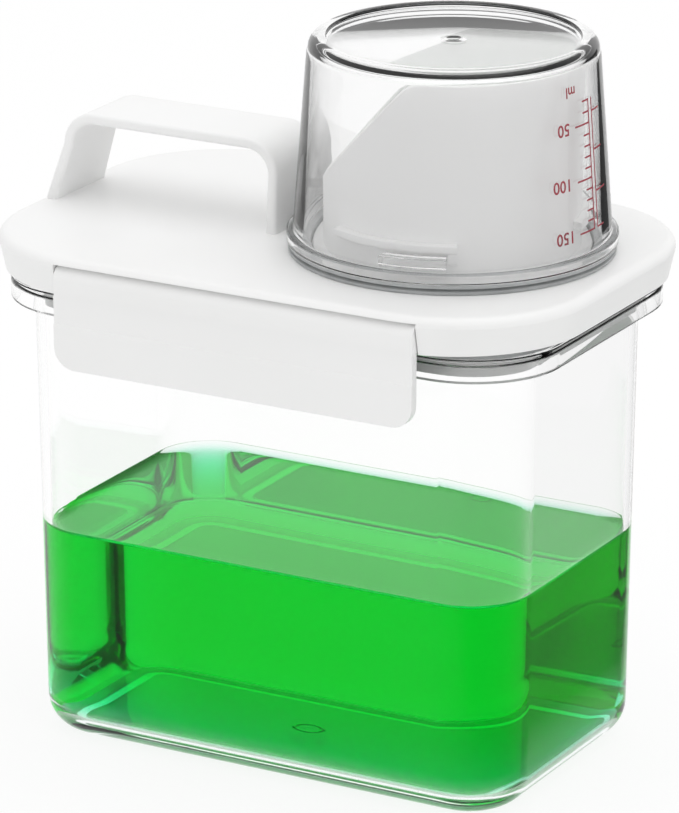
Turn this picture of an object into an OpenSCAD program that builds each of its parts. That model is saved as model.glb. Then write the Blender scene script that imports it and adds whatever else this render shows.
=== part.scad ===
// Clear box for liquid laundry detergent. A white lid with a carrying handle is held
// by a latch flap on each long side. The pouring spout on the lid stands under a clear
// measuring cup. Origin: centre of the underside. X runs along the box, Z up.

/* [Container] */
// Length of the box wall near the bottom
box_l = 132; // [120:1:150]
// Width of the box wall near the bottom
box_w = 81.2; // [70:1:95]
// Corner radius of the box wall near the bottom
box_r = 15.6; // [12:0.5:22]
// Radius of the rounded edge between wall and base
base_edge_r = 9; // [6:0.5:11]
// Thickness of the moulded wall
box_wall = 2.2; // [1.6:0.1:3]
// Thickness of the base under the liquid
base_t = 4.7; // [3.5:0.1:6]
// Outward lean of the wall for each millimetre of height
wall_lean = 0.014; // [0:0.001:0.02]
// Height of the flat top of the rim
rim_z = 118.3; // [100:0.5:140]
// How far the rim stands out from the wall
rim_out = 5.8; // [4:0.1:8]
// Height of the turned-down lip of the rim
rim_lip_h = 5.8; // [4:0.1:9]
// Thickness of the rim's top plate and lip
rim_t = 2; // [1.5:0.1:3]
// Depth of the shallow recess inside the foot ring
foot_recess = 0.8; // [0.4:0.1:1.4]
// Width of the foot ring
foot_w = 3; // [2:0.5:4]

/* [Detergent] */
// Height of the liquid surface
fill_z = 54.4; // [20:1:100]
// Gap kept between the liquid's solid and the wall
fill_gap = 0.1; // [0.05:0.05:0.3]

/* [Lid] */
// How far the lid's top edge stands out past the rim at each end
lid_over_end = 4.17; // [3.8:0.01:6]
// How far the lid's top edge stands out past the rim at each long side
lid_over_side = 6.37; // [5.8:0.01:7.4]
// Corner radius of the lid
lid_r = 34; // [30:1:38]
// Height of the lid's side band
lid_h = 9.4; // [8:0.2:12]
// Radius of the rounded top edge
lid_edge_r = 2.5; // [1.5:0.1:3.5]
// How much the side band draws in towards its bottom edge
lid_draw_in = 1.5; // [0.5:0.1:2]
// Thickness of the lid's top plate
lid_t = 2.2; // [1.8:0.1:2.8]
// Thickness of the lid's outer band
band_t = 2.2; // [1.8:0.1:2.8]
// Thickness of the plug wall that enters the container's mouth
plug_t = 1.8; // [1.4:0.1:2.4]
// Gap between the plug wall and the container's mouth
plug_gap = 0.4; // [0.3:0.05:0.8]
// How deep the plug wall reaches below the rim's top
plug_depth = 5.5; // [3:0.1:7]

/* [Gasket] */
// Thickness of the sealing strip that lies on the rim
gasket_t = 1.5; // [1:0.1:2]
// Free height left between the sealing strip and the rim
gasket_gap = 0.2; // [0.1:0.05:0.3]
// Thickness of the strip's upstand round the plug wall
gasket_up_t = 1.5; // [1:0.1:2]
// How far the strip's edge stays inside the rim's edge
gasket_inset = 0.5; // [0.3:0.1:1.5]

/* [Handle] */
// Width of the handle strap
handle_w = 21.5; // [16:0.5:26]
// Thickness of the handle strap
handle_t = 2.7; // [2.2:0.1:3.5]
// Height of the handle above the lid
handle_h = 22.8; // [20:0.2:34]
// Gap between the cup's flange and the leg beside it
handle_cup_gap = 2.4; // [1.4:0.1:6]
// Distance of the end leg's outer face from the lid's end
handle_end_gap = 2.1; // [1.6:0.1:8]
// How far the end leg leans in towards its top
handle_lean = 4.6; // [2:0.1:7]
// Outer radius of the handle's upper corners
handle_r = 8.5; // [6:0.5:11]

/* [Latches] */
// Width of each latch flap
latch_w = 97; // [70:1:98]
// Thickness of the flap
latch_t = 2.4; // [2:0.1:3]
// How far the flap hangs below the lid's side band
latch_drop = 17.8; // [12:0.2:24]
// Radius of the flap's lower corners
latch_r = 5.5; // [3:0.5:8]
// Distance of the flaps' middle from the lid's middle, towards the spout
latch_x = 1.6; // [0:0.1:1.8]
// How far the flap's face stands out from the lid's edge
latch_proud = 0.3; // [0.1:0.1:0.6]
// Radius of the hinge head, which is also the flap's rounded top edge
hinge_r = 3.6; // [3.2:0.05:3.6]
// Thickness of the lid's edge over the hinge head
cover_t = 1.6; // [1.5:0.05:2]
// Radius of the hinge pins
pin_r = 1; // [0.9:0.05:1.1]
// Length of each hinge pin
pin_l = 1.6; // [1.4:0.1:1.8]
// Running clearance round a hinge pin
pin_gap = 0.08; // [0.03:0.01:0.1]
// Clearance between the flap and the lid's notch
latch_gap = 0.3; // [0.2:0.05:0.5]
// Height of the catch bead under the rim lip
bead_h = 2; // [1.4:0.1:3]
// Distance from the flap's ends to the ends of its catch bead
bead_inset = 9; // [4:0.5:20]

/* [Spout] */
// Distance of the spout and cup axis from the lid's end
spout_end_gap = 45.8; // [45.4:0.1:50]
// Outer radius of the spout tube
spout_r = 31.5; // [30:0.1:31.8]
// Thickness of the spout's wall
spout_t = 1.8; // [1.4:0.1:2.4]
// Height of the lip's flat top above the lid
spout_h = 48.6; // [40:0.1:49]
// Height above the lid where the slanted mouth crosses the spout's axis
mouth_h = 52.1; // [46:0.1:54]
// Slant of the mouth from level
mouth_slant = 48.9; // [40:0.5:52]
// Turn of the mouth's low side from the box's long axis
mouth_turn = 14.4; // [-30:0.1:30]
// Radius of the spout's foot flange on the lid
spout_foot_r = 34.2; // [33.2:0.1:34.6]
// Thickness of the foot flange
spout_foot_t = 1.6; // [1.2:0.1:2]
// How far the spout tube reaches below the lid's top plate
spout_tail = 3.2; // [2.4:0.1:5]
// How far the snap beads below the plate stand out from the tube
snap_out = 0.9; // [0.5:0.1:1.3]
// Arc of each snap bead
snap_arc = 40; // [20:5:60]
// Number of snap beads round the tube
snap_count = 3; // [2:1:4]
// Angle of the middle of the first snap bead
snap_angle = 60; // [50:1:70]
// Gap between the spout tube and the hole in the lid
spout_gap = 0.2; // [0.1:0.05:0.3]

/* [Bayonet] */
// How far each rib stands out from the spout tube
rib_out = 2; // [1.2:0.1:2.2]
// Thickness of a rib
rib_t = 1.9; // [1.5:0.1:2.4]
// Height of a rib's underside above the lid
rib_h = 8.2; // [7:0.1:10]
// Arc that a rib covers
rib_arc = 54; // [45:1:60]
// Arc of the stop at the end of a rib
stop_arc = 3.5; // [3:0.5:5]
// How far the stop is set back inside the rib's edges
stop_set = 0.3; // [0.1:0.1:0.6]
// Angle of the first stop round the spout's axis
stop_angle = -64; // [-90:1:-30]
// Number of ribs on the spout and of lugs in the cup
bayonet_count = 3; // [2:1:3]
// Arc that a lug covers
lug_arc = 25; // [18:1:30]
// Height of a lug
lug_h = 2.4; // [1.8:0.1:2.8]
// Clearance between a lug and its rib and stop
lug_gap = 0.3; // [0.2:0.05:0.5]

/* [Seal ring] */
// Outer radius of the seal ring under the cup
ring_r = 39.3; // [38.6:0.1:40]
// Height of the seal ring
ring_h = 2.5; // [2:0.1:3.2]
// Gap between the seal ring and the spout's foot flange
ring_gap = 0.4; // [0.3:0.1:0.8]

/* [Measuring cup] */
// Height of the cup
cup_h = 50.1; // [48:0.1:60]
// Outer radius of the cup at its closed end
cup_top_r = 34.6; // [34.2:0.1:35.4]
// Outer radius of the cup wall at its mouth
cup_mouth_r = 38.4; // [37.8:0.1:39]
// Thickness of the cup's wall
cup_wall = 1.6; // [1.2:0.1:1.8]
// Thickness of the cup's closed end
cup_end_t = 1.6; // [1.2:0.1:2]
// Radius of the rounded outer edge of the closed end
cup_edge_r = 3; // [2:0.1:3.4]
// Radius of the shallow recess in the closed end
recess_r = 30.3; // [26:0.1:30.4]
// Depth of that recess
recess_d = 1.1; // [0.6:0.1:1.2]
// Radius of the flange at the cup's mouth
flange_r = 39.8; // [39.4:0.1:41]
// Thickness of the flange at the cup's mouth
flange_t = 2.6; // [2:0.1:3.2]
// Radius of the small moulding mark in the middle of the closed end
gate_r = 2.4; // [1.5:0.1:3]

/* [Hidden] */
$fn = 64;
e = 0.01;
big = 400;

lid_z0 = rim_z + gasket_gap + gasket_t;
lid_z1 = lid_z0 + lid_h;
mouth_lean = wall_lean * (rim_z - base_edge_r);
top_l = box_l + 2 * mouth_lean;
top_w = box_w + 2 * mouth_lean;
top_r = box_r + mouth_lean;
rim_l = top_l + 2 * rim_out;
rim_w = top_w + 2 * rim_out;
rim_r = top_r + rim_out;
lid_l = rim_l + 2 * lid_over_end;
lid_w = rim_w + 2 * lid_over_side;
spout_x = lid_l / 2 - spout_end_gap;
handle_x1 = spout_x - flange_r - handle_cup_gap;
handle_x0 = handle_end_gap - lid_l / 2;
lip_z0 = rim_z - rim_lip_h;
inner_l = box_l - 2 * box_wall;
inner_w = box_w - 2 * box_wall;
inner_r = box_r - box_wall;
inner_edge_r = base_edge_r - box_wall;
plug_in = box_wall + plug_gap + wall_lean * plug_depth;

flap_y = lid_w / 2 + latch_proud;
hinge_y = flap_y - hinge_r;
sweep_r = hinge_r + latch_gap;
hinge_z = lid_z1 - cover_t - sweep_r;
flap_z0 = lid_z0 - latch_drop;
bead_tip_y = rim_w / 2 + latch_gap;

ring_z1 = lid_z1 + ring_h;
cup_z1 = ring_z1 + cup_h;
rib_z0 = lid_z1 + rib_h;
rib_r = spout_r + rib_out;
lug_r = rib_r + lug_gap;
lug_z1 = rib_z0 - lug_gap;
lug_turn = atan(lug_gap / rib_r);

// Points of an arc about a centre
function arc(cx, cy, r, a0, a1, n = 8) =
    [for (i = [0:n]) [cx + r * cos(a0 + (a1 - a0) * i / n), cy + r * sin(a0 + (a1 - a0) * i / n)]];

// Outline of a rectangle with round corners, as exact arcs
module round_rect(l, w, r) {
    square([l - 2 * r, w], center = true);
    square([l, w - 2 * r], center = true);
    for (x = [-1, 1], y = [-1, 1])
        translate([x * (l / 2 - r), y * (w / 2 - r)]) circle(r);
}

// Plate or wall of that outline between two heights
module round_slab(l, w, r, z0, z1) {
    translate([0, 0, z0]) linear_extrude(z1 - z0) round_rect(l, w, r);
}

// Tub with a rounded base edge and walls that lean outwards
module tub(l, w, r, edge, z0, z1) {
    lean = wall_lean * (z1 - z0 - edge);
    hull()
        for (x = [-1, 1], y = [-1, 1])
            translate([x * (l / 2 - r), y * (w / 2 - r), z0])
                rotate_extrude($fn = 48)
                    polygon(concat([[0, 0]], arc(r - edge, edge, edge, -90, 0),
                        [[r + lean, z1 - z0], [0, z1 - z0]]));
}

// Ring of a round section about the spout's axis
module spout_ring(r0, r1, z0, z1) {
    translate([spout_x, 0, z0]) difference() {
        cylinder(r = r1, h = z1 - z0);
        translate([0, 0, -e]) cylinder(r = r0, h = z1 - z0 + 2 * e);
    }
}

// Part of such a ring over an arc that starts at an angle
module spout_arc(r0, r1, z0, z1, start, sweep) {
    translate([spout_x, 0, z0]) rotate([0, 0, start])
        rotate_extrude(angle = sweep) translate([r0, 0]) square([r1 - r0, z1 - z0]);
}

module container() {
    color([0.93, 0.95, 0.95, 0.35]) difference() {
        union() {
            tub(box_l, box_w, box_r, base_edge_r, 0, rim_z);
            difference() {
                round_slab(rim_l, rim_w, rim_r, lip_z0, rim_z);
                round_slab(rim_l - 2 * rim_t, rim_w - 2 * rim_t, rim_r - rim_t, lip_z0 - e, rim_z - rim_t);
            }
        }
        tub(inner_l, inner_w, inner_r, inner_edge_r, base_t, rim_z + 1);
        // Recess inside the foot ring
        round_slab(box_l - 2 * (base_edge_r + foot_w), box_w - 2 * (base_edge_r + foot_w),
            box_r - base_edge_r, -e, foot_recess);
    }
}

module detergent() {
    color([0.05, 0.72, 0.2, 0.8]) intersection() {
        tub(inner_l - 2 * fill_gap, inner_w - 2 * fill_gap, inner_r - fill_gap,
            inner_edge_r, base_t + fill_gap, rim_z);
        translate([-big / 2, -big / 2, 0]) cube([big, big, fill_z]);
    }
}

// Outer form of the lid: a band that draws in downwards, with a rounded top edge
module lid_form() {
    hull()
        for (x = [-1, 1], y = [-1, 1])
            translate([x * (lid_l / 2 - lid_r), y * (lid_w / 2 - lid_r), lid_z0])
                rotate_extrude($fn = 72)
                    polygon(concat([[0, 0], [lid_r - lid_draw_in, 0]],
                        arc(lid_r - lid_edge_r, lid_h - lid_edge_r, lid_edge_r, 0, 90, 6),
                        [[0, lid_h]]));
}

// Handle strap, bent from a leg at the lid's end to a leg beside the cup
module handle() {
    top = lid_z1 + handle_h;
    foot = lid_z1 - lid_t / 2;
    inner_r = handle_r - handle_t;
    left = handle_x0 + handle_lean;
    outer = concat([[handle_x0, foot]],
        arc(left + handle_r, top - handle_r, handle_r, 180, 90),
        arc(handle_x1 - handle_r, top - handle_r, handle_r, 90, 0),
        [[handle_x1, foot]]);
    inner = concat([[handle_x1 - handle_t, foot]],
        arc(handle_x1 - handle_r, top - handle_r, inner_r, 0, 90),
        arc(left + handle_r, top - handle_r, inner_r, 90, 180),
        [[handle_x0 + handle_t, foot]]);
    translate([0, handle_w / 2, 0]) rotate([90, 0, 0])
        linear_extrude(handle_w) polygon(concat(outer, inner));
}

// Space that one latch and its hinge head take out of the lid's long side, under its top edge
module latch_notch() {
    notch_w = latch_w + 2 * latch_gap;
    translate([latch_x - notch_w / 2, hinge_y, hinge_z]) rotate([0, 90, 0])
        cylinder(r = sweep_r, h = notch_w);
    translate([latch_x - notch_w / 2, hinge_y, lid_z1 - cover_t - big]) cube([notch_w, big, big]);
    for (x = [-1, 1])
        translate([latch_x + x * latch_w / 2, hinge_y, hinge_z]) rotate([0, x * 90, 0])
            cylinder(r = pin_r + pin_gap, h = pin_l + latch_gap);
}

// Curved wall that closes the lid behind the latch's hinge head
module hinge_trough() {
    trough_w = latch_w + 2 * latch_gap + 2 * (pin_l + latch_gap + band_t);
    intersection() {
        translate([latch_x - trough_w / 2, hinge_y, hinge_z]) rotate([0, 90, 0])
            cylinder(r = sweep_r + band_t, h = trough_w);
        lid_form();
    }
}

module lid() {
    color([0.96, 0.96, 0.96]) difference() {
        union() {
            difference() {
                lid_form();
                // Hollow between the top plate, the band and the plug wall
                round_slab(lid_l - 2 * (band_t + lid_draw_in), lid_w - 2 * (band_t + lid_draw_in),
                    lid_r - band_t - lid_draw_in, lid_z0 - e, lid_z1 - lid_t);
            }
            for (s = [0, 1]) mirror([0, s, 0]) hinge_trough();
            difference() {
                round_slab(top_l - 2 * plug_in, top_w - 2 * plug_in, top_r - plug_in,
                    rim_z - plug_depth, lid_z1 - lid_t + e);
                round_slab(top_l - 2 * (plug_in + plug_t), top_w - 2 * (plug_in + plug_t),
                    top_r - plug_in - plug_t, rim_z - plug_depth - e, lid_z1);
            }
            handle();
        }
        for (s = [0, 1]) mirror([0, s, 0]) latch_notch();
        translate([spout_x, 0, lid_z0 - 2 * e]) cylinder(r = spout_r + spout_gap, h = lid_h + 1);
    }
}

module lid_gasket() {
    color([0.78, 0.79, 0.79]) difference() {
        union() {
            round_slab(rim_l - 2 * gasket_inset, rim_w - 2 * gasket_inset, rim_r - gasket_inset,
                lid_z0 - gasket_t, lid_z0);
            round_slab(top_l - 2 * (plug_in - gasket_up_t), top_w - 2 * (plug_in - gasket_up_t),
                top_r - plug_in + gasket_up_t, lid_z0 - e, lid_z1 - lid_t);
        }
        round_slab(top_l - 2 * plug_in, top_w - 2 * plug_in, top_r - plug_in, rim_z, lid_z1);
    }
}

module spout() {
    tail_z = lid_z1 - lid_t - spout_tail;
    color([0.95, 0.95, 0.95]) difference() {
        union() {
            spout_ring(spout_r - spout_t, spout_r, tail_z, lid_z1 + spout_h);
            spout_ring(spout_r - spout_t / 2, spout_foot_r, lid_z1, lid_z1 + spout_foot_t);
            for (i = [0:snap_count - 1])
                spout_arc(spout_r - spout_t / 2, spout_r + snap_out, tail_z, lid_z1 - lid_t,
                    snap_angle - snap_arc / 2 + 360 * i / snap_count, snap_arc);
            for (i = [0:bayonet_count - 1]) {
                at = stop_angle + 360 * i / bayonet_count;
                spout_arc(spout_r - spout_t / 2, rib_r, rib_z0, rib_z0 + rib_t,
                    at - rib_arc, rib_arc + stop_arc + stop_set);
                spout_arc(spout_r - spout_t / 3, rib_r - stop_set, rib_z0 - lug_h - lug_gap, rib_z0 + rib_t / 2,
                    at, stop_arc);
            }
        }
        // Slanted mouth, low towards the handle
        translate([spout_x, 0, lid_z1 + mouth_h]) rotate([0, 0, mouth_turn])
            rotate([0, -mouth_slant, 0]) translate([-big / 2, -big / 2, 0]) cube([big, big, big]);
    }
}

module cup_seal_ring() {
    color([0.72, 0.73, 0.73]) spout_ring(spout_foot_r + ring_gap, ring_r, lid_z1, ring_z1);
}

module measuring_cup() {
    end_z = cup_h - recess_d - cup_end_t;
    slope = (cup_mouth_r - cup_top_r) / cup_h;
    inner_top_r = cup_top_r - cup_wall + slope * (cup_h - end_z);
    inner_edge_r = cup_edge_r - cup_wall;
    color([0.95, 0.97, 0.97, 0.35]) union() {
        translate([spout_x, 0, ring_z1]) rotate_extrude($fn = 96)
            polygon(concat(
                [[cup_mouth_r - cup_wall, 0], [flange_r, 0], [flange_r, flange_t],
                    [cup_mouth_r - slope * flange_t, flange_t]],
                arc(cup_top_r - cup_edge_r, cup_h - cup_edge_r, cup_edge_r, 0, 90, 6),
                [[recess_r, cup_h], [recess_r, cup_h - recess_d], [0, cup_h - recess_d], [0, end_z]],
                arc(inner_top_r - inner_edge_r, end_z - inner_edge_r, inner_edge_r, 90, 0, 4)));
        for (i = [0:bayonet_count - 1])
            spout_arc(lug_r, cup_mouth_r - cup_wall / 2, lug_z1 - lug_h, lug_z1,
                stop_angle + 360 * i / bayonet_count - lug_arc - lug_turn, lug_arc);
        translate([spout_x, 0, cup_z1 - recess_d - e]) difference() {
            cylinder(r = gate_r, h = recess_d / 2);
            translate([0, 0, -e]) cylinder(r = gate_r / 2, h = recess_d);
        }
    }
}

// Section of a latch flap: the round hinge head and the plate that hangs from its outer side
module latch_section() {
    translate([hinge_y, hinge_z]) circle(hinge_r);
    translate([flap_y - latch_t, flap_z0]) square([latch_t, hinge_z - flap_z0]);
}

// One latch on the +Y side of the lid, with its catch bead and pins
module latch() {
    bead_l = latch_w - 2 * bead_inset;
    intersection() {
        translate([-latch_w / 2, 0, 0]) rotate([90, 0, 90]) linear_extrude(latch_w) latch_section();
        translate([0, big / 2, 0]) rotate([90, 0, 0]) linear_extrude(big) union() {
            translate([-latch_w / 2, flap_z0 + latch_r]) square([latch_w, big]);
            translate([-latch_w / 2 + latch_r, flap_z0]) square([latch_w - 2 * latch_r, big]);
            for (x = [-1, 1]) translate([x * (latch_w / 2 - latch_r), flap_z0 + latch_r]) circle(latch_r);
        }
    }
    translate([-bead_l / 2, bead_tip_y, lip_z0 - latch_gap - bead_h])
        cube([bead_l, flap_y - latch_t / 2 - bead_tip_y, bead_h]);
    for (x = [-1, 1])
        translate([x * (latch_w / 2 - 1), hinge_y, hinge_z]) rotate([0, x * 90, 0])
            cylinder(r = pin_r, h = pin_l + 1);
}

module front_latch() {
    color([0.95, 0.95, 0.95]) translate([latch_x, 0, 0]) mirror([0, 1, 0]) latch();
}

module back_latch() {
    color([0.95, 0.95, 0.95]) translate([latch_x, 0, 0]) latch();
}

container();
detergent();
lid();
lid_gasket();
spout();
cup_seal_ring();
measuring_cup();
front_latch();
back_latch();
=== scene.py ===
import math

import bmesh
import bpy
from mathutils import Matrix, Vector


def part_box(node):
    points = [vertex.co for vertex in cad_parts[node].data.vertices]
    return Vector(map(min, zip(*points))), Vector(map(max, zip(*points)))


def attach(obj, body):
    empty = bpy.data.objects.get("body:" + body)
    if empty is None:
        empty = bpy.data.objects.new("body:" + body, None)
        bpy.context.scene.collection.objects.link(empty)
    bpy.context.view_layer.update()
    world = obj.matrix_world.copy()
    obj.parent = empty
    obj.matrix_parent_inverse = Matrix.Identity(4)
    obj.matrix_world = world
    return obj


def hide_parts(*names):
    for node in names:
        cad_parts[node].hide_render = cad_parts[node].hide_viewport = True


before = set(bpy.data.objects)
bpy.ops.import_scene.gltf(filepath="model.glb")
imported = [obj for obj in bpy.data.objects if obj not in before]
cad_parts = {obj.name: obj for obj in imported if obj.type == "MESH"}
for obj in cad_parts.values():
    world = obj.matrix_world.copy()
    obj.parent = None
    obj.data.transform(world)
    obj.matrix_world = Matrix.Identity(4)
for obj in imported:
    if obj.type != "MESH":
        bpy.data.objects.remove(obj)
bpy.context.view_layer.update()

# Camera: a long lens across the room, turned to the spout's end of the long front side and looking
# a little down, as in the photograph.
view_turn = math.radians(29.22)
view_rise = math.radians(18.53)
back_to_camera = Vector((
    math.sin(view_turn) * math.cos(view_rise),
    -math.cos(view_turn) * math.cos(view_rise),
    math.sin(view_rise),
))
view_distance = 1.3405
view_target = Vector((-0.00408, 0.0, 0.0832))
aim_point = Vector((-0.00035, 0.0021, 0.0834))
camera_data = bpy.data.cameras.new("camera")
camera_data.lens = 242.4
camera = bpy.data.objects.new("camera", camera_data)
camera.location = view_target + back_to_camera * view_distance
camera.rotation_euler = (aim_point - camera.location).to_track_quat("-Z", "Y").to_euler()
bpy.context.scene.collection.objects.link(camera)
bpy.context.scene.camera = camera
bpy.context.scene.view_settings.view_transform = "Standard"


# Studio: a white sweep that the object stands on, under a white dome with a large soft lamp overhead
# and a grey side on the right, which gives the clear plastic its edges. Light paths are long enough
# to cross clear plastic, liquid and plastic again after turning back inside.
def linear(channel):
    """One sRGB channel from 0 to 1 as the linear value that shaders take."""
    return channel / 12.92 if channel <= 0.04045 else ((channel + 0.055) / 1.055) ** 2.4


def colour(code):
    """An sRGB hex colour such as F2F2F0 as a linear colour with alpha."""
    return tuple(linear(int(code[i:i + 2], 16) / 255) for i in (0, 2, 4)) + (1.0,)


def add(tree, kind, inputs=None, **settings):
    """One node of a tree with its settings. Each input is a value, or a socket to link from."""
    node = tree.nodes.new(kind)
    for name, value in settings.items():
        setattr(node, name, value)
    for name, value in (inputs or {}).items():
        if isinstance(value, bpy.types.NodeSocket):
            tree.links.new(value, node.inputs[name])
        else:
            node.inputs[name].default_value = value
    return node


def seen_ray(tree):
    """1 for a ray that shows the background, straight or by way of gloss or clear plastic."""
    path = add(tree, "ShaderNodeLightPath")
    through = add(tree, "ShaderNodeMath", {
        0: path.outputs["Is Glossy Ray"], 1: path.outputs["Is Transmission Ray"]}, operation="MAXIMUM")
    return add(tree, "ShaderNodeMath", {
        0: through.outputs[0], 1: path.outputs["Is Camera Ray"]}, operation="MAXIMUM").outputs[0]


def shine_ray(tree):
    """1 for a ray thrown back by a glossy face, and 0 for one that clear plastic lets through."""
    path = add(tree, "ShaderNodeLightPath")
    return add(tree, "ShaderNodeMath", {
        0: path.outputs["Is Glossy Ray"], 1: path.outputs["Is Transmission Ray"]},
        operation="SUBTRACT", use_clamp=True).outputs[0]


longest_path = 16
bpy.context.scene.cycles.max_bounces = longest_path
bpy.context.scene.cycles.transmission_bounces = longest_path
world = bpy.data.worlds.new("white dome")
world.use_nodes = True
world.node_tree.nodes.clear()
tree = world.node_tree
direction = add(tree, "ShaderNodeTexCoord").outputs["Generated"]
across = add(tree, "ShaderNodeVectorMath", {0: direction, 1: (0.87, 0.49, 0.0)},
             operation="DOT_PRODUCT").outputs["Value"]
across = add(tree, "ShaderNodeMath", {0: across, 1: shine_ray(tree)}, operation="MULTIPLY").outputs[0]
side_grey = add(tree, "ShaderNodeValToRGB", {"Fac": across})
side_grey.color_ramp.elements[0].position = 0.5
side_grey.color_ramp.elements[0].color = (1.0, 1.0, 1.0, 1.0)
side_grey.color_ramp.elements[1].position = 0.9
side_grey.color_ramp.elements[1].color = (0.6, 0.6, 0.61, 1.0)
light_dome = add(tree, "ShaderNodeBackground", {"Color": colour("FFFFFF"), "Strength": 0.79})
gloss_dome = add(tree, "ShaderNodeBackground", {"Color": side_grey.outputs["Color"], "Strength": 1.0})
white_dome = add(tree, "ShaderNodeBackground", {"Color": colour("FFFFFF"), "Strength": 1.0})
path = add(tree, "ShaderNodeLightPath")
lit_or_seen = add(tree, "ShaderNodeMixShader", {
    "Fac": seen_ray(tree), 1: light_dome.outputs[0], 2: gloss_dome.outputs[0]})
shown = add(tree, "ShaderNodeMixShader", {
    "Fac": path.outputs["Is Camera Ray"], 1: lit_or_seen.outputs[0], 2: white_dome.outputs[0]})
add(tree, "ShaderNodeOutputWorld", {"Surface": shown.outputs[0]})
bpy.context.scene.world = world


def new_material(name):
    """An empty node material and its tree."""
    material = bpy.data.materials.new(name)
    material.use_nodes = True
    material.node_tree.nodes.clear()
    return material, material.node_tree


def white_sweep():
    """Matt white paper that shows as the white background and keeps the soft shadow. A grey card
    lies on it to the right, outside the picture, and shows in reflections only."""
    material, tree = new_material("white_paper")
    paper = add(tree, "ShaderNodeBsdfDiffuse", {"Color": colour("FFFFFF")})
    glow = add(tree, "ShaderNodeEmission", {"Color": colour("FFFFFF"), "Strength": 1.0})
    share = add(tree, "ShaderNodeMath", {0: seen_ray(tree), 1: 0.88}, operation="MULTIPLY")
    paper = add(tree, "ShaderNodeMixShader", {
        "Fac": share.outputs[0], 1: paper.outputs[0], 2: glow.outputs[0]})
    place = add(tree, "ShaderNodeTexCoord").outputs["Object"]
    apart = add(tree, "ShaderNodeSeparateXYZ", {0: place})
    on_card = add(tree, "ShaderNodeMapRange", {
        "Value": apart.outputs["X"], "From Min": 0.074, "From Max": 0.09, "To Max": 0.85})
    in_gloss = add(tree, "ShaderNodeMath", {0: shine_ray(tree), 1: on_card.outputs[0]}, operation="MULTIPLY")
    card = add(tree, "ShaderNodeEmission", {"Color": colour("202222"), "Strength": 1.0})
    paper = add(tree, "ShaderNodeMixShader", {
        "Fac": in_gloss.outputs[0], 1: paper.outputs[0], 2: card.outputs[0]})
    add(tree, "ShaderNodeOutputMaterial", {"Surface": paper.outputs[0]})
    return material


def placed(name, mesh, material):
    """A mesh object at the origin with its material."""
    piece = bpy.data.objects.new(name, mesh)
    bpy.context.scene.collection.objects.link(piece)
    piece.data.materials.append(material)
    return piece


floor_size = 9.0
bm = bmesh.new()
bmesh.ops.create_circle(bm, cap_ends=True, radius=floor_size, segments=64)
mesh = bpy.data.meshes.new("floor")
bm.to_mesh(mesh)
floor = placed("floor", mesh, white_sweep())

lamp_data = bpy.data.lights.new("overhead", "AREA")
lamp_data.shape = "DISK"
lamp_data.size = 2.6
lamp_data.energy = 13
lamp = bpy.data.objects.new("overhead", lamp_data)
lamp.location = (0.35, 0.0, 1.9)
lamp.rotation_euler = (Vector((0.0, 0.0, 0.1)) - lamp.location).to_track_quat("-Z", "Y").to_euler()
bpy.context.scene.collection.objects.link(lamp)

# Container: a clear styrene box, injection moulded in one piece, with a thick base, a foot ring and
# leaning walls. Its rim turns outwards and down to a lip that the latches catch.
MM = 0.001
CORNER_STEPS = 14
low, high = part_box("container")
rim_z = high.z / MM
rim_out = 5.8
rim_t = 2.0
rim_lip_h = 5.8
wall_lean = 0.014
box_wall = 2.2
base_t = 4.7
base_edge_r = 9.0
inner_edge_r = base_edge_r - box_wall
foot_w = 3.0
foot_recess = 0.8
box_r = 15.6
gate_ring_r = 3.6
gate_ring_w = 0.9
mouth_lean = wall_lean * (rim_z - base_edge_r)
box_l = (high.x - low.x) / MM - 2 * (rim_out + mouth_lean)
box_w = (high.y - low.y) / MM - 2 * (rim_out + mouth_lean)


def arc(cx, cy, radius, start, end, steps=8):
    """Points of an arc about a centre, from one angle to another in degrees."""
    turns = [math.radians(start + (end - start) * i / steps) for i in range(steps + 1)]
    return [(cx + radius * math.cos(t), cy + radius * math.sin(t)) for t in turns]


def box_ring(grow, z, length=box_l, width=box_w, radius=box_r, keep=0.5):
    """The box's outline grown outwards, at one height. A point just past each end of a corner keeps
    the walls between the corners flat."""
    length, width, radius = length + 2 * grow, width + 2 * grow, max(radius + grow, 0.3)
    points = []
    for turn, (sx, sy) in enumerate(((1, -1), (1, 1), (-1, 1), (-1, -1))):
        cx, cy = sx * (length / 2 - radius), sy * (width / 2 - radius)
        corner = arc(cx, cy, radius, 90 * turn - 90, 90 * turn, CORNER_STEPS)
        along = [(-keep, 0), (0, -keep), (keep, 0), (0, keep)][turn]
        after = [(0, keep), (-keep, 0), (0, -keep), (keep, 0)][turn]
        first, last = corner[0], corner[-1]
        points += [(first[0] - abs(along[0]) * sx, first[1] - abs(along[1]) * sy), *corner,
                   (last[0] - abs(after[0]) * sx, last[1] - abs(after[1]) * sy)]
    return [(x, y, z) for x, y in points]


def loft(name, rings, closed=False, sharp=38):
    """A closed mesh through rings of points in millimetres. The ends get caps unless it is closed."""
    bm = bmesh.new()
    rows = [[bm.verts.new((x * MM, y * MM, z * MM)) for x, y, z in ring] for ring in rings]
    count = len(rows[0])
    pairs = list(zip(rows, rows[1:])) + ([(rows[-1], rows[0])] if closed else [])
    for a, b in pairs:
        for i in range(count):
            bm.faces.new((a[i], a[(i + 1) % count], b[(i + 1) % count], b[i]))
    if not closed:
        bm.faces.new(rows[0][::-1])
        bm.faces.new(rows[-1])
    return finished(name, bm, sharp)


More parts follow.
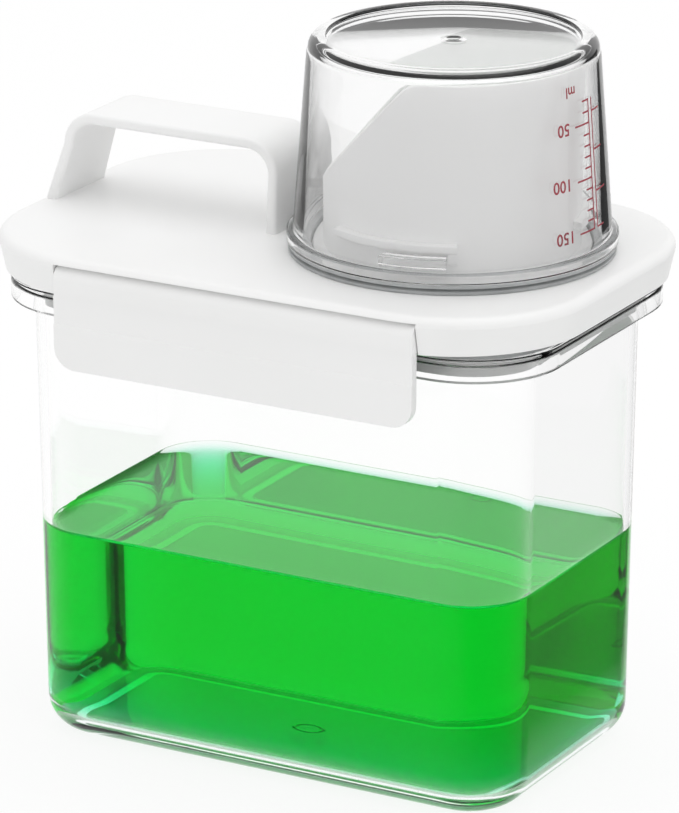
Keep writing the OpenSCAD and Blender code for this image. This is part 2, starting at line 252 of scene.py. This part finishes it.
def finished(name, bm, sharp=38):
    """The mesh with its doubles merged, its faces outwards and smooth between its sharp edges."""
    bmesh.ops.remove_doubles(bm, verts=bm.verts, dist=1e-6)
    bmesh.ops.recalc_face_normals(bm, faces=bm.faces)
    mesh = bpy.data.meshes.new(name)
    bm.to_mesh(mesh)
    bm.free()
    mesh.polygons.foreach_set("use_smooth", [True] * len(mesh.polygons))
    mesh.set_sharp_from_angle(angle=math.radians(sharp))
    return mesh


def wall_grow(z, start=-box_wall, z0=base_t + inner_edge_r):
    """How far the leaning wall lies outside the box's outline at a height."""
    return start + wall_lean * (z - z0)


def clear_styrene(name, shadow="F6F8F8", facing_shine="FFFFFF", roughness=0.01, gate_mark=False):
    """Clear styrene, moulded against polished steel: bright gloss, strong edges by refraction, and a
    very slight waviness over centimetres from the flow of the melt. The gate mark is a small ring
    round the part's middle, where the melt came in."""
    material, tree = new_material(name)
    place = add(tree, "ShaderNodeTexCoord").outputs["Object"]
    flow = add(tree, "ShaderNodeTexNoise", {"Vector": place, "Scale": 34.0, "Detail": 1.0})
    waves = add(tree, "ShaderNodeBump", {"Strength": 0.05, "Distance": 0.0006, "Height": flow.outputs["Fac"]})
    if gate_mark:
        plan = add(tree, "ShaderNodeVectorMath", {0: place, 1: (1.0, 1.0, 0.0)}, operation="MULTIPLY")
        away = add(tree, "ShaderNodeVectorMath", {0: plan.outputs[0]}, operation="LENGTH").outputs["Value"]
        past = add(tree, "ShaderNodeMath", {0: away, 1: gate_ring_r * MM}, operation="SUBTRACT").outputs[0]
        off_ring = add(tree, "ShaderNodeMath", {0: past}, operation="ABSOLUTE").outputs[0]
        ridge = add(tree, "ShaderNodeMapRange", {
            "Value": off_ring, "From Max": gate_ring_w * MM, "To Min": 1.0, "To Max": 0.0},
            interpolation_type="SMOOTHSTEP").outputs[0]
        waves = add(tree, "ShaderNodeBump", {
            "Strength": 1.0, "Distance": 0.0012, "Height": ridge, "Normal": waves.outputs["Normal"]})
    plastic = add(tree, "ShaderNodeBsdfPrincipled", {
        "Base Color": colour("FFFFFF"), "Roughness": roughness, "IOR": 1.53, "Transmission Weight": 1.0,
        "Specular Tint": colour(facing_shine), "Normal": waves.outputs["Normal"]})
    lamps_pass = add(tree, "ShaderNodeBsdfTransparent", {"Color": colour(shadow)})
    shadow_ray = add(tree, "ShaderNodeLightPath").outputs["Is Shadow Ray"]
    shader = add(tree, "ShaderNodeMixShader", {
        "Fac": shadow_ray, 1: plastic.outputs[0], 2: lamps_pass.outputs[0]})
    add(tree, "ShaderNodeOutputMaterial", {"Surface": shader.outputs[0]})
    return material


lip_z = rim_z - rim_lip_h
plate_z = rim_z - rim_t
rim_edge = mouth_lean + rim_out
soft = 0.5
under = arc(wall_grow(plate_z, 0, base_edge_r) + soft, plate_z - soft, soft, 180, 90, 3)
lip_in = arc(rim_edge - rim_t - soft, plate_z - soft, soft, 90, 0, 3)
lip_end = arc(rim_edge - rim_t + soft, lip_z + soft, soft, 180, 270, 3) + arc(
    rim_edge - soft, lip_z + soft, soft, 270, 360, 3)
rim_top = arc(rim_edge - soft, rim_z - soft, soft, 0, 90, 3)
mouth = arc(wall_grow(rim_z) + soft, rim_z - soft, soft, 90, 180, 3)
outer_foot = arc(-base_edge_r, base_edge_r, base_edge_r, -90, 0, 14)
inner_foot = arc(-base_edge_r, base_t + inner_edge_r, inner_edge_r, 0, -90, 14)
recess_edge = -base_edge_r - foot_w
profile = [(recess_edge - 2.0, foot_recess), (recess_edge, foot_recess), (recess_edge + 0.4, 0.0),
           (-base_edge_r - 0.3, 0.0), *outer_foot, (0.007, base_edge_r + 0.5),
           (wall_grow(plate_z - 1.2, 0, base_edge_r), plate_z - 1.2), *under, *lip_in, *lip_end,
           *rim_top, *mouth, (wall_grow(rim_z - 1.2), rim_z - 1.2),
           (wall_grow(base_t + inner_edge_r + 0.5), base_t + inner_edge_r + 0.5), *inner_foot,
           (-base_edge_r - 0.5, base_t)]
container = placed("clear_container", loft("clear_container", [box_ring(g, z) for g, z in profile]),
                   clear_styrene("clear_styrene_moulded", facing_shine="606060"))
# On the inner faces that the liquid wets, plastic and liquid meet without air between them, so hardly
# any light is thrown back. The underside is spark-finished and lets the light of the table in.
container.data.materials.append(clear_styrene(
    "clear_styrene_wetted", facing_shine="000000", gate_mark=True))
container.data.materials.append(clear_styrene("styrene_spark_finished_underside", roughness=0.5))
fill_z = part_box("detergent")[1].z / MM
half_l, half_w = box_l / 2 - 1.0, box_w / 2 - 1.0
for face in container.data.polygons:
    x, y, z = (c / MM for c in face.center)
    if abs(x) < half_l and abs(y) < half_w and base_t - 0.1 < z < fill_z:
        face.material_index = 1
    elif z < foot_recess + 0.01:
        face.material_index = 2
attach(container, "box")
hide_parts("container")

# Detergent: a clear green liquid that fills less than half of the box. It wets the wall, so its form
# reaches a hair into the plastic, and its surface climbs the wall in a small meniscus.
wet = 0.12
climb = 1.4
climb_width = 1.5
still_z = fill_z - 0.9


def detergent_liquid():
    """Dyed water-clear liquid: the depth of the light's way through it turns mint into deep green."""
    material, tree = new_material("green_detergent")
    place = add(tree, "ShaderNodeTexCoord").outputs["Object"]
    ripple = add(tree, "ShaderNodeTexNoise", {"Vector": place, "Scale": 22.0, "Detail": 1.0})
    calm = add(tree, "ShaderNodeBump", {"Strength": 0.06, "Distance": 0.0005, "Height": ripple.outputs["Fac"]})
    liquid = add(tree, "ShaderNodeBsdfPrincipled", {
        "Base Color": colour("FFFFFF"), "Roughness": 0.0, "IOR": 1.36, "Transmission Weight": 1.0,
        "Specular Tint": colour("000000"),
        "Normal": calm.outputs["Normal"]})
    lamps_pass = add(tree, "ShaderNodeBsdfTransparent", {"Color": colour("D8FFE4")})
    shadow_ray = add(tree, "ShaderNodeLightPath").outputs["Is Shadow Ray"]
    shader = add(tree, "ShaderNodeMixShader", {
        "Fac": shadow_ray, 1: liquid.outputs[0], 2: lamps_pass.outputs[0]})
    dye = add(tree, "ShaderNodeVolumeAbsorption", {"Color": (0.0, 0.948, 0.62, 1.0), "Density": 125.0})
    add(tree, "ShaderNodeOutputMaterial", {"Surface": shader.outputs[0], "Volume": dye.outputs[0]})
    return material


bottom = arc(-base_edge_r, base_t + inner_edge_r, inner_edge_r + wet, -90, 0, 14)
profile = [(-base_edge_r - 0.5, base_t - wet), *bottom,
           (wall_grow(base_t + inner_edge_r + 0.5) + wet, base_t + inner_edge_r + 0.5),
           (wall_grow(still_z + climb) + wet, still_z + climb + 0.05)]
for away in (0.0, 0.25, 0.5, 0.8, 1.2, 1.7, 2.4, 3.2, 4.2, 5.5, 6.5):
    profile.append((wall_grow(still_z) - away, still_z + climb * math.exp(-away / climb_width * 1.6)))
detergent = placed("green_detergent", loft("green_detergent", [box_ring(g, z) for g, z in profile]),
                   detergent_liquid())
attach(detergent, "box")
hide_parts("detergent")

# Lid: moulded white polypropylene. The band round it draws in towards its lower edge, the plug wall
# under it enters the box, and a notch along each long side takes a latch's hinge.
lid_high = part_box("lid")[1]
lid_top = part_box("cup_seal_ring")[0].z / MM


def white_polypropylene(name, grain=1.0):
    """White polypropylene moulded in spark-finished steel: satin, milky, with a fine grain of about
    0.4 mm and a slight drift of gloss over centimetres."""
    material, tree = new_material(name)
    place = add(tree, "ShaderNodeTexCoord").outputs["Object"]
    fine = add(tree, "ShaderNodeTexNoise", {"Vector": place, "Scale": 1 / 0.0004, "Detail": 2.0})
    broad = add(tree, "ShaderNodeTexNoise", {"Vector": place, "Scale": 1 / 0.045, "Detail": 2.0})
    milk = add(tree, "ShaderNodeMix", {
        "Factor": broad.outputs["Fac"], 6: colour("F1F1F0"), 7: colour("F6F6F6")},
        data_type="RGBA")
    gloss = add(tree, "ShaderNodeMapRange", {
        "Value": broad.outputs["Fac"], "From Min": 0.3, "From Max": 0.7, "To Min": 0.36, "To Max": 0.46})
    skin = add(tree, "ShaderNodeBump", {
        "Strength": 0.12 * grain, "Distance": 0.00004, "Height": fine.outputs["Fac"]})
    plastic = add(tree, "ShaderNodeBsdfPrincipled", {
        "Base Color": milk.outputs[2], "Roughness": gloss.outputs[0], "IOR": 1.49,
        "Normal": skin.outputs["Normal"]})
    add(tree, "ShaderNodeOutputMaterial", {"Surface": plastic.outputs[0]})
    return material


def merged_copy(node, below=None):
    """A CAD node's mesh with its loose triangles merged, its flat faces whole and, if a height is
    given, everything above it cut off."""
    bm = bmesh.new()
    bm.from_mesh(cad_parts[node].data)
    bmesh.ops.remove_doubles(bm, verts=bm.verts, dist=1e-6)
    if below is not None:
        cut = bmesh.ops.bisect_plane(bm, geom=bm.verts[:] + bm.edges[:] + bm.faces[:],
                                     plane_co=(0, 0, below * MM), plane_no=(0, 0, 1), clear_outer=True)
        edges = [e for e in cut["geom_cut"] if isinstance(e, bmesh.types.BMEdge)]
        bmesh.ops.holes_fill(bm, edges=edges)
    bmesh.ops.dissolve_limit(bm, angle_limit=math.radians(0.4), verts=bm.verts, edges=bm.edges)
    return bm


def softened(piece, width, sharp=40):
    """Rounds a piece's sharp edges as a mould does, and makes the bevel part of the mesh."""
    bevel = piece.modifiers.new("soft edges", "BEVEL")
    bevel.width = width * MM
    bevel.segments = 3
    bevel.limit_method = "ANGLE"
    bevel.angle_limit = math.radians(sharp)
    bevel.harden_normals = True
    result = bpy.data.meshes.new_from_object(piece.evaluated_get(bpy.context.evaluated_depsgraph_get()))
    result.name = piece.name
    piece.modifiers.clear()
    piece.data = result


polypropylene = white_polypropylene("white_polypropylene_moulded")
lid = placed("lid_body", finished("lid_body", merged_copy("lid", lid_top + 0.02), 30), polypropylene)
softened(lid, 0.35)
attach(lid, "lid_body")
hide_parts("lid")

# Handle: the strap that is moulded with the lid, bent square from a leaning leg at the lid's end to a
# straight leg beside the cup, with well rounded edges.
handle_w = 21.5
handle_t = 2.7
handle_r = 8.5
handle_lean = 4.6
handle_top = lid_high.z / MM
handle_x0 = -75.4
handle_x1 = -10.5
edge_r = 0.9


def strap_section(width, thick, radius, steps=5):
    """Outline of the strap's section, as pairs of across and depth below the outer face."""
    points = []
    for turn, (sx, sy) in enumerate(((1, -1), (1, 1), (-1, 1), (-1, -1))):
        points += arc(sx * (width / 2 - radius), sy * (thick / 2 - radius), radius,
                      90 * turn - 90, 90 * turn, steps)
    return points


sunk = 1.2
mid_r = handle_r - handle_t / 2
left = handle_x0 + handle_lean
run = [(handle_x0 + handle_t / 2 - 0.1, lid_top - sunk), (handle_x0 + handle_t / 2, lid_top)]
run += arc(left + handle_r, handle_top - handle_r, mid_r, 180, 90, 12)
run += arc(handle_x1 - handle_r, handle_top - handle_r, mid_r, 90, 0, 12)
run += [(handle_x1 - handle_t / 2, lid_top), (handle_x1 - handle_t / 2, lid_top - sunk)]
section = strap_section(handle_w, handle_t, edge_r)
rings = []
for i, (x, z) in enumerate(run):
    before, after = run[max(i - 1, 0)], run[min(i + 1, len(run) - 1)]
    ahead = Vector((after[0] - before[0], after[1] - before[1])).normalized()
    flare = 1 + 0.10 * math.exp(-((z - lid_top) / 1.1) ** 2)
    rings.append([(x - ahead.y * v * flare, u * flare, z + ahead.x * v) for u, v in section])
handle = placed("lid_handle", loft("lid_handle", rings, sharp=60), polypropylene)
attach(handle, "lid_body")
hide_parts("lid")

# Gasket: a pale silicone strip with an L section, pushed over the plug wall under the lid. Only its
# edge shows, as the line between the lid and the box.
def silicone(name, tint, clear=0.55):
    """Translucent silicone: soft, slightly milky, with a dull sheen."""
    material, tree = new_material(name)
    place = add(tree, "ShaderNodeTexCoord").outputs["Object"]
    cloud = add(tree, "ShaderNodeTexNoise", {"Vector": place, "Scale": 1 / 0.006, "Detail": 3.0})
    shade = add(tree, "ShaderNodeMix", {
        "Factor": cloud.outputs["Fac"], 6: colour(tint), 7: colour("E2E4E4")}, data_type="RGBA")
    sheen = add(tree, "ShaderNodeMapRange", {"Value": cloud.outputs["Fac"], "To Min": 0.28, "To Max": 0.42})
    rubber = add(tree, "ShaderNodeBsdfPrincipled", {
        "Base Color": shade.outputs[2], "Roughness": sheen.outputs[0], "IOR": 1.41,
        "Transmission Weight": clear})
    add(tree, "ShaderNodeOutputMaterial", {"Surface": rubber.outputs[0]})
    return material


gasket = placed("lid_gasket_strip", finished("lid_gasket_strip", merged_copy("lid_gasket"), 30),
                silicone("silicone_strip", "B9BCBC"))
softened(gasket, 0.3)
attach(gasket, "lid_body")
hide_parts("lid_gasket")

# Latches: two white flaps on pins in the lid's long sides. Each has a round hinge head, a flat plate
# with two shallow steps across it, and a catch bead that snaps under the box's rim.
band_heights = (120.0, 113.0)
band_step = 0.3
ledge = 0.45


def banded_flap(node):
    """The flap with each band of its face sloping in by a hair to the ledge of the next."""
    bm = merged_copy(node)
    side = 1 if node == "back_latch" else -1
    face_y = max(side * v.co.y for v in bm.verts)
    for height in band_heights:
        for z in (height * MM, (height + ledge) * MM):
            bmesh.ops.bisect_plane(bm, geom=bm.verts[:] + bm.edges[:] + bm.faces[:],
                                   plane_co=(0, 0, z), plane_no=(0, 0, 1))
        for v in bm.verts:
            if abs(v.co.z - z) < 1e-6 and side * v.co.y > face_y - 1e-5:
                v.co.y -= side * band_step * MM
    return bm


for node, body in (("front_latch", "front_flap"), ("back_latch", "back_flap")):
    flap = placed(node + "_flap", finished(node + "_flap", banded_flap(node), 20), polypropylene)
    softened(flap, 0.45)
    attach(flap, body)
    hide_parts(node)

# Spout: a white polypropylene tube that snaps into the lid from above. Its mouth is cut on a slant
# with a rounded lip, and ribs round it hold the cup's lugs.
axis_x = 31.7
spout_r = 31.5
spout_t = 1.8
spout_low, spout_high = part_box("spout")
flat_z = spout_high.z / MM
tail_z = spout_low.z / MM
mouth_z = lid_top + 52.1
mouth_slant = math.radians(48.9)
mouth_turn = math.radians(14.4)
SPOUT_COLUMNS = 240


def mouth_height(turn, radius):
    """Height of the slanted mouth at an angle about the axis, with a soft change to its flat top."""
    slanted = mouth_z + radius * math.cos(turn - mouth_turn) * math.tan(mouth_slant)
    blend = 1.3
    return -blend * math.log(math.exp(-slanted / blend + flat_z / blend) + 1) + flat_z


def band(name, outline, start, sweep, steps):
    """A closed mesh of an outline of (radius, height) points swept about the spout's axis."""
    whole = sweep >= 360
    columns = []
    for i in range(steps if whole else steps + 1):
        turn = math.radians(start + sweep * i / steps)
        points = outline(turn) if callable(outline) else outline
        columns.append([(axis_x + r * math.cos(turn), r * math.sin(turn), z) for r, z in points])
    return loft(name, columns, closed=whole)


def spout_wall(turn):
    """Section of the spout's wall at an angle, with its rounded lip."""
    top_out = mouth_height(turn, spout_r)
    top_in = mouth_height(turn, spout_r - spout_t)
    lip = 0.7
    inner = spout_r - spout_t
    points = [(inner, tail_z), (spout_r, tail_z), (spout_r, lid_top + 2.0)]
    points += [(spout_r, top_out - lip), (spout_r - 0.07, top_out - lip * 0.55),
               (spout_r - 0.3, top_out - lip * 0.15)]
    points += [(spout_r - spout_t / 2, (top_out + top_in) / 2)]
    points += [(inner + 0.3, top_in - lip * 0.15), (inner + 0.07, top_in - lip * 0.55), (inner, top_in - lip)]
    return points


def joined(name, meshes, material):
    """Several closed meshes as one piece."""
    bm = bmesh.new()
    for mesh in meshes:
        bm.from_mesh(mesh)
    whole = bpy.data.meshes.new(name)
    bm.to_mesh(whole)
    bm.free()
    return placed(name, whole, material)


def rounded_bar(r0, r1, z0, z1, soft=0.3):
    """Outline of a square-section rib with soft edges."""
    return (arc(r1 - soft, z0 + soft, soft, -90, 0, 3) + arc(r1 - soft, z1 - soft, soft, 0, 90, 3)
            + arc(r0 + soft, z1 - soft, soft, 90, 180, 3) + arc(r0 + soft, z0 + soft, soft, 180, 270, 3))


rib_z = lid_top + 8.2
rib_r = spout_r + 2.0
foot_r = 34.2
stop_angle = -64
parts = [band("tube", spout_wall, 0, 360, SPOUT_COLUMNS),
         band("foot", rounded_bar(spout_r - 0.9, foot_r, lid_top, lid_top + 1.6), 0, 360, 180)]
for i in range(3):
    at = stop_angle + 120 * i
    parts.append(band("rib", rounded_bar(spout_r - 0.9, rib_r, rib_z, rib_z + 1.9), at - 54, 57.8, 40))
    parts.append(band("stop", rounded_bar(spout_r - 0.6, rib_r - 0.3, rib_z - 2.7, rib_z + 0.95), at, 3.5, 4))
    parts.append(band("snap", rounded_bar(spout_r - 0.9, spout_r + 0.9, tail_z, lid_top - 2.2),
                      40 + 120 * i, 40, 24))
spout = joined("pouring_spout", parts, polypropylene)
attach(spout, "lid_body")
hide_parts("spout")

# Seal ring: a grey see-through silicone ring round the spout's foot. The cup stands on it, and the
# line round its middle is where its two lips part.
ring_low, ring_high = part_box("cup_seal_ring")
ring_r = (ring_high.x - ring_low.x) / 2 / MM
ring_in = foot_r + 0.4
z0, z1 = ring_low.z / MM, ring_high.z / MM
middle = (z0 + z1) / 2
outline = (arc(ring_r - 0.5, z0 + 0.5, 0.5, -90, 0, 4) + [(ring_r, middle - 0.4), (ring_r - 1.1, middle),
           (ring_r, middle + 0.4)] + arc(ring_r - 0.5, z1 - 0.5, 0.5, 0, 90, 4)
           + arc(ring_in + 0.3, z1 - 0.3, 0.3, 90, 180, 3) + arc(ring_in + 0.3, z0 + 0.3, 0.3, 180, 270, 3))
seal = placed("cup_seal", band("cup_seal", outline, 0, 360, 192), silicone("silicone_seal", "BDC0C1", 0.4))
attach(seal, "cup_ring")
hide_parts("cup_seal_ring")

# Measuring cup: clear styrene, moulded with a shallow recess in its closed end, a gate mark in the
# middle of that, a flange at its mouth and three lugs inside that turn under the spout's ribs.
cup_low, cup_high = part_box("measuring_cup")
cup_z0, cup_z1 = cup_low.z / MM, cup_high.z / MM
cup_h = cup_z1 - cup_z0
cup_top_r = 34.6
cup_mouth_r = 38.4
cup_wall = 1.6
cup_end_t = 1.6
cup_edge_r = 3.0
recess_r = 30.3
recess_d = 1.1
flange_r = (cup_high.x - cup_low.x) / 2 / MM
flange_t = 2.6
slope = (cup_mouth_r - cup_top_r) / cup_h


def cup_radius(z):
    """Outer radius of the cup's wall at a height."""
    return cup_mouth_r - slope * (z - cup_z0)


end_z = cup_z1 - recess_d - cup_end_t
inner_top_r = cup_radius(end_z) - cup_wall
inner_r = cup_edge_r - cup_wall
outline = [(cup_radius(cup_z0 + 1) - cup_wall, cup_z0 + 1)]
outline += arc(cup_mouth_r - cup_wall + 0.4, cup_z0 + 0.4, 0.4, 180, 270, 3)
outline += arc(flange_r - 0.4, cup_z0 + 0.4, 0.4, 270, 360, 3)
outline += arc(flange_r - 0.5, cup_z0 + flange_t - 0.5, 0.5, 0, 90, 4)
outline += arc(cup_radius(cup_z0 + flange_t) + 0.4, cup_z0 + flange_t + 0.4, 0.4, 270, 184, 3)
outline += [(cup_radius(cup_z1 - cup_edge_r - 1), cup_z1 - cup_edge_r - 1)]
outline += arc(cup_top_r - cup_edge_r, cup_z1 - cup_edge_r, cup_edge_r, 0, 90, 10)
outline += arc(recess_r + 0.3, cup_z1 - 0.3, 0.3, 90, 180, 3)
outline += arc(recess_r - 0.4, cup_z1 - recess_d + 0.4, 0.4, 0, -90, 3)
gate = [(2.6, 0.0), (2.3, 0.14), (2.0, 0.2), (1.6, 0.14), (1.3, 0.0), (0.02, 0.0)]
outline += [(3.4, cup_z1 - recess_d)] + [(r, cup_z1 - recess_d + h) for r, h in gate]
outline += [(0.02, end_z), (inner_top_r - inner_r - 0.5, end_z)]
outline += arc(inner_top_r - inner_r, end_z - inner_r, inner_r, 90, 0, 6)
outline += [(cup_radius(end_z - inner_r - 1) - cup_wall, end_z - inner_r - 1)]
lug_r = rib_r + 0.3
lug_z1 = rib_z - 0.3
parts = [band("wall", outline, 0, 360, 240)]
for i in range(3):
    parts.append(band("lug", rounded_bar(lug_r, cup_mouth_r - cup_wall / 2, lug_z1 - 2.4, lug_z1),
                      stop_angle + 120 * i - 25.5, 25, 16))
cup = joined("measuring_cup_clear", parts, clear_styrene("clear_styrene_cup", shadow="FFFFFF"))
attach(cup, "cup")
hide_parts("measuring_cup")

# Scale: red ink, screen-printed on the outside of the cup, with a mark every 10 ml from 30 to 150 and
# a second scale without numbers beside it. It is upside down, because the cup stands on its mouth.
ink_t = 0.05
line_w = 0.42
short_mark, long_mark = 4.4, 9.7
numbers = ((50, -16.3), (100, -18.0), (150, -17.4))
digit_h = 2.9
stroke_grow = 0.05


def screen_ink():
    """Red screen ink: flat and dull, with pinholes of about 0.3 mm that let the cup show through."""
    material, tree = new_material("screen_ink_red")
    place = add(tree, "ShaderNodeTexCoord").outputs["Object"]
    screen = add(tree, "ShaderNodeTexNoise", {"Vector": place, "Scale": 1 / 0.0003, "Detail": 1.0})
    shade = add(tree, "ShaderNodeMix", {
        "Factor": screen.outputs["Fac"], 6: colour("8C2430"), 7: colour("AC3E4A")}, data_type="RGBA")
    dull = add(tree, "ShaderNodeMapRange", {"Value": screen.outputs["Fac"], "To Min": 0.45, "To Max": 0.6})
    ink = add(tree, "ShaderNodeBsdfPrincipled", {
        "Base Color": shade.outputs[2], "Roughness": dull.outputs[0], "IOR": 1.5})
    add(tree, "ShaderNodeOutputMaterial", {"Surface": ink.outputs[0]})
    return material


def fill_height(ml):
    """Depth in millimetres that a volume fills in the cup, which widens towards its mouth."""
    depth = 0.0
    for _ in range(8):
        depth = ml * 1000 / (math.pi * (cup_radius(end_z) - cup_wall + slope * depth / 2) ** 2)
    return depth


def printed_marks():
    """Node tree that puts a thin bar at each point, sizes it and wraps it round the cup. A point's x is
    the angle in radians, its y is not used, and its z is the height in metres."""
    tree = bpy.data.node_groups.new("printed marks", "GeometryNodeTree")
    tree.interface.new_socket("Marks", in_out="INPUT", socket_type="NodeSocketGeometry")
    for name in ("Axis x", "Radius at height 0", "Slope", "Ink thickness"):
        tree.interface.new_socket(name, in_out="INPUT", socket_type="NodeSocketFloat")
    tree.interface.new_socket("Ink", in_out="INPUT", socket_type="NodeSocketMaterial")
    tree.interface.new_socket("Print", in_out="OUTPUT", socket_type="NodeSocketGeometry")
    given = add(tree, "NodeGroupInput").outputs
    bar = add(tree, "GeometryNodeMeshCube", {
        "Size": (1.0, 1.0, 1.0), "Vertices X": 14, "Vertices Y": 2, "Vertices Z": 2})
    size = add(tree, "GeometryNodeInputNamedAttribute", {"Name": "size"}, data_type="FLOAT_VECTOR")
    bars = add(tree, "GeometryNodeInstanceOnPoints", {
        "Points": given["Marks"], "Instance": bar.outputs["Mesh"], "Scale": size.outputs[0]})
    real = add(tree, "GeometryNodeRealizeInstances", {"Geometry": bars.outputs[0]})
    flat = add(tree, "ShaderNodeSeparateXYZ", {0: add(tree, "GeometryNodeInputPosition").outputs[0]})
    lean = add(tree, "ShaderNodeMath", {0: flat.outputs[2], 1: given["Slope"]}, operation="MULTIPLY")
    wall = add(tree, "ShaderNodeMath", {0: given["Radius at height 0"], 1: lean.outputs[0]},
               operation="SUBTRACT")
    proud = add(tree, "ShaderNodeMath", {0: flat.outputs[1], 1: given["Ink thickness"]}, operation="MULTIPLY")
    radius = add(tree, "ShaderNodeMath", {0: wall.outputs[0], 1: proud.outputs[0]}, operation="SUBTRACT")
    over = add(tree, "ShaderNodeMath", {0: flat.outputs[0]}, operation="COSINE")
    out = add(tree, "ShaderNodeMath", {0: flat.outputs[0]}, operation="SINE")
    x = add(tree, "ShaderNodeMath", {0: over.outputs[0], 1: radius.outputs[0], 2: given["Axis x"]},
            operation="MULTIPLY_ADD")
    y = add(tree, "ShaderNodeMath", {0: out.outputs[0], 1: radius.outputs[0]}, operation="MULTIPLY")
    wrapped = add(tree, "ShaderNodeCombineXYZ", {0: x.outputs[0], 1: y.outputs[0], 2: flat.outputs[2]})
    bent = add(tree, "GeometryNodeSetPosition", {"Geometry": real.outputs[0], "Position": wrapped.outputs[0]})
    inked = add(tree, "GeometryNodeSetMaterial", {"Geometry": bent.outputs[0], "Material": given["Ink"]})
    add(tree, "NodeGroupOutput", {"Print": inked.outputs[0]})
    return tree


bars = []
for ml in range(30, 151, 10):
    z = end_z - fill_height(ml)
    bars.append((-(long_mark if ml % 50 == 0 else short_mark), 0.0, z, None))
first_z, last_z = end_z - fill_height(30), end_z - fill_height(150)
bars.append((0.0, None, first_z, last_z))
bars.append((2.6, None, first_z, last_z))
for share, reach in ((0.1, 6.8), (0.4, 7.4), (0.72, 9.0), (1.0, 5.6)):
    bars.append((2.6, 2.6 + reach, first_z + (last_z - first_z) * share, None))
cloud = bpy.data.meshes.new("scale marks")
points, sizes_of_bars = [], []
for start, end, z, z_end in bars:
    if end is None:
        points.append((math.radians(start), 0.0, (z + z_end) / 2 * MM))
        sizes_of_bars.append((line_w / cup_top_r, 1.0, (z - z_end + line_w) * MM))
    else:
        points.append((math.radians(start + end) / 2, 0.0, z * MM))
        sizes_of_bars.append((math.radians(end - start), 1.0, line_w * MM))
cloud.from_pydata(points, [], [])
cloud.attributes.new("size", "FLOAT_VECTOR", "POINT").data.foreach_set(
    "vector", [value for size in sizes_of_bars for value in size])
ink = screen_ink()
print_tree = printed_marks()
marks = bpy.data.objects.new("scale marks", cloud)
bpy.context.scene.collection.objects.link(marks)
modifier = marks.modifiers.new("print", "NODES")
modifier.node_group = print_tree
values = {"Axis x": axis_x * MM, "Radius at height 0": cup_radius(0) * MM, "Slope": slope,
          "Ink thickness": ink_t * MM, "Ink": ink}
for item in print_tree.interface.items_tree:
    if item.in_out == "INPUT" and item.name in values:
        modifier[item.identifier] = values[item.name]
bm = bmesh.new()
evaluated = bpy.data.meshes.new_from_object(marks.evaluated_get(bpy.context.evaluated_depsgraph_get()))
bm.from_mesh(evaluated)
bpy.data.objects.remove(marks)
for words, turn, z, height in [(str(ml), turn, end_z - fill_height(ml), digit_h) for ml, turn in numbers] + [
        ("ml", -11.6, end_z - fill_height(20) + 0.3, 2.5)]:
    text = bpy.data.curves.new(words, "FONT")
    text.body = words
    text.size = height / 0.7
    text.align_x = "CENTER"
    text.extrude = ink_t / 2
    text.offset = stroke_grow
    text.resolution_u = 3
    letters = bpy.data.objects.new(words, text)
    bpy.context.scene.collection.objects.link(letters)
    mesh = bpy.data.meshes.new_from_object(letters.evaluated_get(bpy.context.evaluated_depsgraph_get()))
    bpy.data.objects.remove(letters)
    for v in mesh.vertices:
        at_z = z - (v.co.y - height / 2)
        angle = math.radians(turn) - v.co.x / cup_radius(z)
        radius = cup_radius(at_z) + v.co.z
        v.co = Vector((axis_x + radius * math.cos(angle), radius * math.sin(angle), at_z)) * MM
    bm.from_mesh(mesh)
bmesh.ops.remove_doubles(bm, verts=bm.verts, dist=1e-7)
bmesh.ops.recalc_face_normals(bm, faces=bm.faces)
mesh = bpy.data.meshes.new("cup_scale")
bm.to_mesh(mesh)
mesh.materials.clear()
scale = placed("cup_scale", mesh, ink)
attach(scale, "cup")
